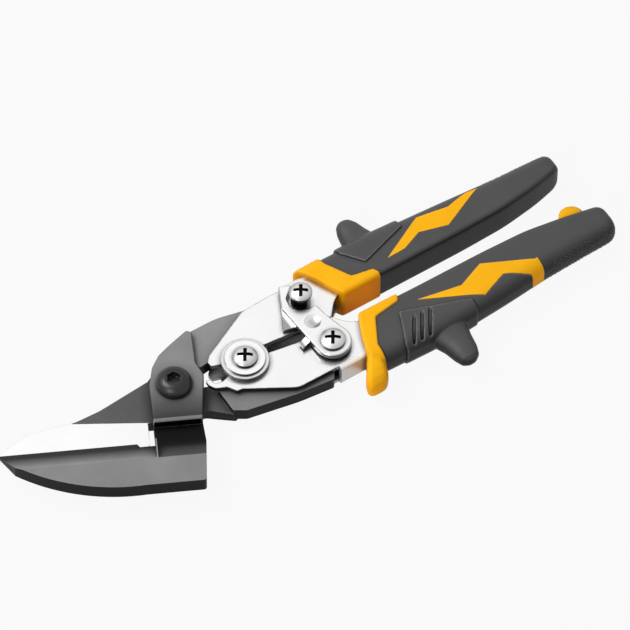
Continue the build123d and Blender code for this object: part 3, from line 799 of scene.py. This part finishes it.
for which, (stations, side, zigzag) in GRIPS.items():
    sleeve = grip_skin(f"{which}_sleeve", stations, side)
    combine(sleeve, side_prism("front", SLEEVE_FRONT, side), "DIFFERENCE")
    combine(sleeve, zigzag_tool(zigzag, side, which == "lower"), "DIFFERENCE")
    crisp(sleeve)
    clad(sleeve, rubber, f"{which}_handle", "black_rubber", f"{which}_grip_sleeve")

# ---------------------------------------------------------------- grips: stipple at the butts
# The outer side of each sleeve is stippled near its butt for hold: small domes,
# scattered evenly and half sunk in the rubber.
stipple = bpy.data.node_groups.new("stipple", "GeometryNodeTree")
stipple.interface.new_socket("Sleeve", in_out="INPUT", socket_type="NodeSocketGeometry")
dome_sizes = (("From X", 0.150), ("Side", 1.0), ("Spacing", 0.0009), ("Dome Radius", 0.0002))
for label, value in dome_sizes:
    socket = stipple.interface.new_socket(label, in_out="INPUT", socket_type="NodeSocketFloat")
    socket.default_value = value
stipple.interface.new_socket("Seed", in_out="INPUT", socket_type="NodeSocketInt").default_value = 7
stipple.interface.new_socket("Material", in_out="INPUT", socket_type="NodeSocketMaterial")
stipple.interface.new_socket("Domes", in_out="OUTPUT", socket_type="NodeSocketGeometry")
asked = add(stipple, "NodeGroupInput")
spot = add(stipple, "ShaderNodeSeparateXYZ")
link(stipple, add(stipple, "GeometryNodeInputPosition").outputs[0], spot.inputs[0])
facing = add(stipple, "ShaderNodeSeparateXYZ")
link(stipple, add(stipple, "GeometryNodeInputNormal").outputs[0], facing.inputs[0])
past = maths(stipple, "GREATER_THAN", spot.outputs[0], asked.outputs["From X"])
outward = maths(stipple, "MULTIPLY", facing.outputs[1], asked.outputs["Side"])
outer = maths(stipple, "GREATER_THAN", outward, 0.75)
scatter = add(stipple, "GeometryNodeDistributePointsOnFaces", distribute_method="POISSON")
link(stipple, asked.outputs["Sleeve"], scatter.inputs["Mesh"])
link(stipple, maths(stipple, "MULTIPLY", past, outer), scatter.inputs["Selection"])
link(stipple, asked.outputs["Spacing"], scatter.inputs["Distance Min"])
link(stipple, asked.outputs["Seed"], scatter.inputs["Seed"])
scatter.inputs["Density Max"].default_value = 2.0e6
dome = add(stipple, "GeometryNodeMeshIcoSphere")
dome.inputs["Subdivisions"].default_value = 2
link(stipple, asked.outputs["Dome Radius"], dome.inputs["Radius"])
place_domes = add(stipple, "GeometryNodeInstanceOnPoints")
link(stipple, scatter.outputs["Points"], place_domes.inputs["Points"])
link(stipple, dome.outputs["Mesh"], place_domes.inputs["Instance"])
made_real = add(stipple, "GeometryNodeRealizeInstances")
link(stipple, place_domes.outputs["Instances"], made_real.inputs["Geometry"])
coat = add(stipple, "GeometryNodeSetMaterial")
link(stipple, made_real.outputs["Geometry"], coat.inputs["Geometry"])
link(stipple, asked.outputs["Material"], coat.inputs["Material"])
link(stipple, coat.outputs["Geometry"], add(stipple, "NodeGroupOutput").inputs["Domes"])

sockets = {
    item.name: item.identifier
    for item in stipple.interface.items_tree
    if item.in_out == "INPUT"
}
for which, (_, side, _) in GRIPS.items():
    ground_mesh = bpy.data.objects[f"{which}_sleeve"].data.copy()
    domes = bpy.data.objects.new(f"{which}_stipple", ground_mesh)
    scene.collection.objects.link(domes)
    scattered = domes.modifiers.new("stipple", "NODES")
    scattered.node_group = stipple
    scattered[sockets["Side"]] = float(side)
    scattered[sockets["Material"]] = rubber
    settle(domes)
    domes.data.shade_smooth()
    clad(domes, rubber, f"{which}_handle", "black_rubber")

# ---------------------------------------------------------------- grips: the orange inlays
# A zigzag of the core's hard orange plastic shows through the top of each sleeve
# and stands just proud of it. The lower one hooks over the outer side.
for which, (stations, side, zigzag) in GRIPS.items():
    inlay = grip_skin(f"{which}_zigzag", stations, side, 0.22)
    combine(inlay, zigzag_tool(zigzag, side, which == "lower"), "INTERSECT")
    crisp(inlay)
    clad(inlay, orange, f"{which}_handle", "orange_plastic", f"{which}_grip_core")

# ---------------------------------------------------------------- grips: the orange collars
# The core's front end is a thick collar round the handle. The lower one runs out
# into a tongue that keeps the hand off the blades.
inner_front = [(40.0, 60.0), (40.0, 0.0), (77.9, 0.0)]
FRONTS = {
    "upper": [*inner_front, (48.8, 60.0)],
    "lower": [*inner_front, (71.2, 14.0), (68.9, 21.5), (67.6, 60.0)],
}
inner_back = [(91.1, 8.8), (92.3, 6.4), (92.3, 0.0), (40.0, 0.0), (40.0, 60.0)]
BACKS = {
    "upper": [(76.4, 60.0), (76.4, 21.2), (82.4, 10.4), *inner_back],
    "lower": [(73.6, 60.0), (73.9, 21.6), (80.0, 10.4), *inner_back],
}
TONGUE = [
    (19.0, 71.8, 2.7, -0.3, 7.8),
    (23.0, 71.0, 3.0, -0.3, 7.7),
    (26.0, 69.7, 3.8, -0.5, 7.3),
    (29.0, 68.4, 4.7, -0.8, 6.8),
    (31.8, 67.4, 4.8, -1.1, 5.6),
    (33.6, 66.8, 3.7, -1.3, 3.9),
    (34.4, 66.5, 1.8, -1.4, 1.9),
]


def lobe(name, rings, side, power=2.4, count=40):
    """A rounded lobe through oval rings: out, middle x, half length, middle z, half height."""
    made = []
    for out, middle_x, half_x, middle_z, half_z in rings:
        ring = []
        for k in range(count):
            a = 2 * math.pi * k / count
            c, s = math.cos(a), math.sin(a)
            x = middle_x + half_x * math.copysign(abs(c) ** (2 / power), c)
            z = middle_z + half_z * math.copysign(abs(s) ** (2 / power), s)
            ring.append(to_frame(x, out, z, side))
        made.append(ring)
    return rings_to_mesh(name, made)


for which, (stations, side, _) in GRIPS.items():
    collar = grip_skin(f"{which}_collar", stations, side, 0.75)
    combine(collar, side_prism("front", FRONTS[which], side), "DIFFERENCE")
    combine(collar, side_prism("back", BACKS[which], side), "INTERSECT")
    if which == "lower":
        combine(collar, lobe("tongue", TONGUE, side, 3.6), "UNION")
    remould(collar, 0.4, 9)
    clad(collar, orange, f"{which}_handle", "orange_plastic", f"{which}_grip_core")

# ---------------------------------------------------------------- grips: the finger guards
# A soft lobe on each outer side stops the fingers sliding forward. It is moulded
# with a raised panel, and three grooves are cut across the lower one.
PANELS = {
    "upper": [(84.0, 60.0), (84.0, 21.0), (90.3, 12.9), (111.0, 19.6), (111.0, 60.0)],
    "lower": [(80.0, 60.0), (83.2, 26.0), (88.4, 13.4), (115.2, 22.8), (116.2, 60.0)],
}
LOBES = {
    "upper": [
        (17.0, 96.5, 10.0, -0.5, 7.2),
        (22.0, 96.2, 9.0, -0.5, 6.6),
        (26.0, 95.9, 6.9, -0.5, 5.4),
        (30.0, 95.6, 5.6, -0.5, 4.6),
        (34.0, 95.4, 4.6, -0.5, 4.1),
        (36.6, 95.2, 3.3, -0.5, 3.2),
        (37.7, 95.1, 1.9, -0.5, 2.0),
        (38.0, 95.1, 0.7, -0.5, 0.8),
    ],
    "lower": [
        (18.0, 101.2, 12.0, -0.5, 7.2),
        (24.0, 101.6, 10.6, -0.5, 6.8),
        (28.0, 102.2, 7.9, -0.5, 5.6),
        (33.0, 102.6, 6.2, -0.5, 4.7),
        (38.0, 102.8, 5.2, -0.5, 4.2),
        (41.2, 102.8, 4.0, -0.5, 3.4),
        (42.6, 102.8, 2.2, -0.5, 2.1),
        (43.0, 102.8, 0.8, -0.5, 0.8),
    ],
}
# a groove's rings, with each middle given along from the groove's own place
GROOVE = [
    (17.5, 1.0, 0.7, 8.9, 1.2),
    (20.0, -0.6, 0.8, 8.4, 1.9),
    (24.0, -3.1, 0.8, 7.2, 2.5),
    (27.5, -5.3, 0.6, 5.4, 2.2),
]
for which, (stations, side, _) in GRIPS.items():
    guard = grip_skin(f"{which}_guard", stations, side, 0.8)
    combine(guard, side_prism("panel", PANELS[which], side), "INTERSECT")
    combine(guard, lobe("lobe", LOBES[which], side), "UNION")
    if which == "lower":
        for groove_x in (91.6, 95.2, 98.8):
            groove = [(out, groove_x + lean, *rest) for out, lean, *rest in GROOVE]
            combine(guard, lobe("groove", groove, side, 2.0, 16), "DIFFERENCE")
    remould(guard, 0.4, 4)
    clad(guard, rubber, f"{which}_handle", "black_rubber", f"{which}_finger_guard")

# ---------------------------------------------------------------- lower grip: the bumper
# A round orange stop on the inner side, which meets the upper grip when closed.
bumper_x, bumper_out, bumper_side = 170.3, 8.8, -1
bumper_profile = [(4.4, -4.5), (5.1, -3.8), (5.1, 2.8), (4.6, 3.4), (3.4, 3.7)]
turns = [2 * math.pi * k / 48 for k in range(48)]
bumper_rings = []
for radius, z in bumper_profile:
    ring = [(bumper_x + radius * math.cos(a), bumper_out + radius * math.sin(a)) for a in turns]
    bumper_rings.append([to_frame(x, out, z, bumper_side) for x, out in ring])
bumper = rings_to_mesh("lower_bumper", bumper_rings)
crisp(bumper, 50.0)
clad(bumper, orange, "lower_handle", "orange_plastic", "lower_grip_core")
